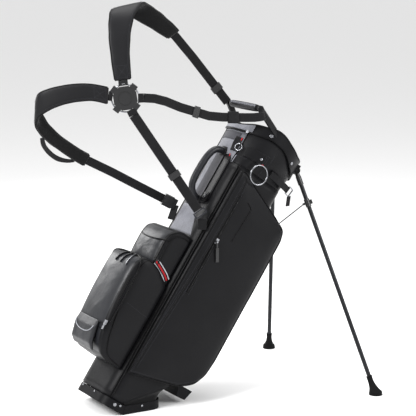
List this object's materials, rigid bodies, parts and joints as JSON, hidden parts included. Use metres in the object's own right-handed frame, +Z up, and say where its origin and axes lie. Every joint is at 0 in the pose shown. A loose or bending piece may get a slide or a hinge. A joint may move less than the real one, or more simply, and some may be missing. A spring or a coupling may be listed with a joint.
{
  "type": "golf stand bag",
  "caption": "Black leatherette golf stand bag on open folding legs, with a padded double shoulder harness, zipped pockets, grab handles and a divided round mouth.",
  "frame": {"origin": "middle of the base flap's sole on the floor, below the lower rear of the bag", "axes": "+Z up; +X the way the legs open, away from the straps; +Y towards the far pocket; the bag leans 34 degrees towards +X"},
  "size_m": [0.8916, 0.6234, 1.1373],
  "materials": {
    "leatherette": "soft semi-gloss synthetic leather, fine grain",
    "pad_leather": "matte padded synthetic leather",
    "webbing": "woven polyester webbing",
    "mesh_fabric": "dark woven mesh",
    "gusset_fabric": "soft matte nylon",
    "ribbon_fabric": "striped woven ribbon",
    "moulded_plastic": "fine matte moulding",
    "satin_plastic": "satin nylon",
    "foot_rubber": "matte rubber",
    "leg_aluminium": "black anodised, satin",
    "rod_steel": "drawn steel wire",
    "bright_metal": "bright plated",
    "tube_core": "inner shell board"
  },
  "bodies": {
    "bag": {"apparel_pocket_far": "leatherette", "apparel_pocket_near": "leatherette", "ball_pocket": "leatherette", "ball_pouch": "leatherette", "base_gusset": "gusset_fabric", "belt_strap": "leatherette", "body_shell": "tube_core", "buckle_plug": "satin_plastic", "buckle_socket": "satin_plastic", "corner_welts": "leatherette", "frame_stays": "rod_steel", "front_boot": "moulded_plastic", "front_panel": "mesh_fabric", "handle_bail": "moulded_plastic", "handle_grip": "leatherette", "hinge_pin": "rod_steel", "hub_ring": "bright_metal", "leg_brackets": "moulded_plastic", "leg_pins": "rod_steel", "lift_handle": "leatherette", "lower_loop": "bright_metal", "rear_heel": "moulded_plastic", "ring_tabs": "leatherette", "rod_channels": "moulded_plastic", "snap_studs": "bright_metal", "strap_anchors": "webbing", "strap_keeper": "leatherette", "strap_lower": "webbing", "strap_lower_left": "webbing", "strap_pad_left": "pad_leather", "strap_pad_upper": "pad_leather", "strap_right": "webbing", "strap_upper": "webbing", "striped_ribbon": "ribbon_fabric", "top_collar": "leatherette", "top_cuff": "moulded_plastic", "top_divider": "moulded_plastic", "valuables_pocket": "leatherette", "zip_tracks": "satin_plastic"},
    "base_flap": {"base_flap": "moulded_plastic"},
    "leg_near": {"leg_tube_near": "leg_aluminium", "leg_fittings_near": "satin_plastic", "leg_foot_near": "foot_rubber"},
    "leg_far": {"leg_tube_far": "leg_aluminium", "leg_fittings_far": "satin_plastic", "leg_foot_far": "foot_rubber"},
    "link_rod_near": {"link_rod_near": "rod_steel"},
    "link_rod_far": {"link_rod_far": "rod_steel"},
    "pull_rod": {"pull_rod": "rod_steel"},
    "towel_ring": {"towel_ring": "bright_metal"},
    "d_ring": {"d_ring": "bright_metal"},
    "zip_slider": {"zip_slider": "bright_metal"},
    "zip_pull": {"zip_pull": "satin_plastic"},
    "ball_zip_slider": {"ball_zip_slider": "bright_metal"},
    "belt_buckle": {"belt_buckle": "bright_metal"},
    "slider_upper": {"slider_upper": "satin_plastic"},
    "slider_lower": {"slider_lower": "satin_plastic"},
    "slider_right": {"slider_right": "satin_plastic"},
    "hub_plate": {"hub_plate": "satin_plastic"}
  },
  "joints": [
    {"name": "leg_near_hinge", "type": "hinge", "parent": "bag", "child": "leg_near", "pos_m": [0.52861, -0.0614, 0.6397], "axis": [0.3664, 0.8971, -0.2471], "range_deg": [0, 48.9]},
    {"name": "leg_far_hinge", "type": "hinge", "parent": "bag", "child": "leg_far", "pos_m": [0.52861, 0.0614, 0.6397], "axis": [-0.3664, 0.8971, 0.2471], "range_deg": [0, 48.9]},
    {"name": "link_rod_near_hinge", "type": "hinge", "parent": "leg_near", "child": "link_rod_near", "pos_m": [0.537, -0.09122, 0.54386], "axis": [0.3664, 0.8971, -0.2471], "range_deg": [-69.7, 0]},
    {"name": "link_rod_far_hinge", "type": "hinge", "parent": "leg_far", "child": "link_rod_far", "pos_m": [0.537, 0.09122, 0.54386], "axis": [-0.3664, 0.8971, 0.2471], "range_deg": [-69.7, 0]},
    {"name": "pull_rod_slide", "type": "slide", "parent": "bag", "child": "pull_rod", "axis": [0.5592, 0, 0.829], "range_m": [-0.0428, 0]},
    {"name": "base_flap_hinge", "type": "hinge", "parent": "bag", "child": "base_flap", "pos_m": [-0.06358, 0, 0.003], "axis": [0, 1, 0], "range_deg": [0, 34], "deforming": ["base_gusset"]},
    {"name": "towel_ring_hinge", "type": "hinge", "parent": "bag", "child": "towel_ring", "pos_m": [0.36336, -0.1215, 0.67664], "axis": [-1, 0, 0], "range_deg": [0, 80]},
    {"name": "d_ring_hinge", "type": "hinge", "parent": "bag", "child": "d_ring", "pos_m": [0.33784, -0.06075, 0.73279], "axis": [-0.4145, 0.866, 0.2796], "range_deg": [0, 70]},
    {"name": "zip_slide", "type": "slide", "parent": "bag", "child": "zip_slider", "axis": [0.5592, 0, 0.829], "range_m": [-0.15, 0.09]},
    {"name": "zip_pull_swing", "type": "hinge", "parent": "zip_slider", "child": "zip_pull", "pos_m": [0.22703, -0.1178, 0.46798], "axis": [0, -1, 0], "range_deg": [-60, 8]},
    {"name": "ball_zip_slide", "type": "slide", "parent": "bag", "child": "ball_zip_slider", "axis": [0.5179, 0, 0.8554], "range_m": [0, 0.13]},
    {"name": "belt_buckle_hinge", "type": "hinge", "parent": "bag", "child": "belt_buckle", "pos_m": [0.47552, -0.0985, 0.59228], "axis": [-0.6782, 0, -0.7349], "range_deg": [0, 40]},
    {"name": "slider_upper_slide", "type": "slide", "parent": "bag", "child": "slider_upper", "axis": [0.6084, -0.1243, -0.7838], "range_m": [-0.01, 0.01]},
    {"name": "slider_lower_slide", "type": "slide", "parent": "bag", "child": "slider_lower", "axis": [0.494, -0.2463, -0.8339], "range_m": [-0.03, 0.03]},
    {"name": "slider_right_slide", "type": "slide", "parent": "bag", "child": "slider_right", "axis": [0.9303, -0.1957, -0.3101], "range_m": [-0.01, 0.01]},
    {"name": "hub_plate_turn", "type": "hinge", "parent": "bag", "child": "hub_plate", "pos_m": [0.00209, 0, 0.87663], "axis": [-0.5, -0.866, 0], "range_deg": [-10, 10]}
  ],
  "couplings": [
    {"joint": "leg_far_hinge", "follows": "leg_near_hinge", "ratio": 1},
    {"joint": "link_rod_near_hinge", "follows": "leg_near_hinge", "ratio": -1.4225},
    {"joint": "link_rod_far_hinge", "follows": "leg_near_hinge", "ratio": -1.4225},
    {"joint": "pull_rod_slide", "follows": "leg_near_hinge", "m_per_rad": -0.04997},
    {"joint": "base_flap_hinge", "follows": "leg_near_hinge", "ratio": 0.6948}
  ]
}
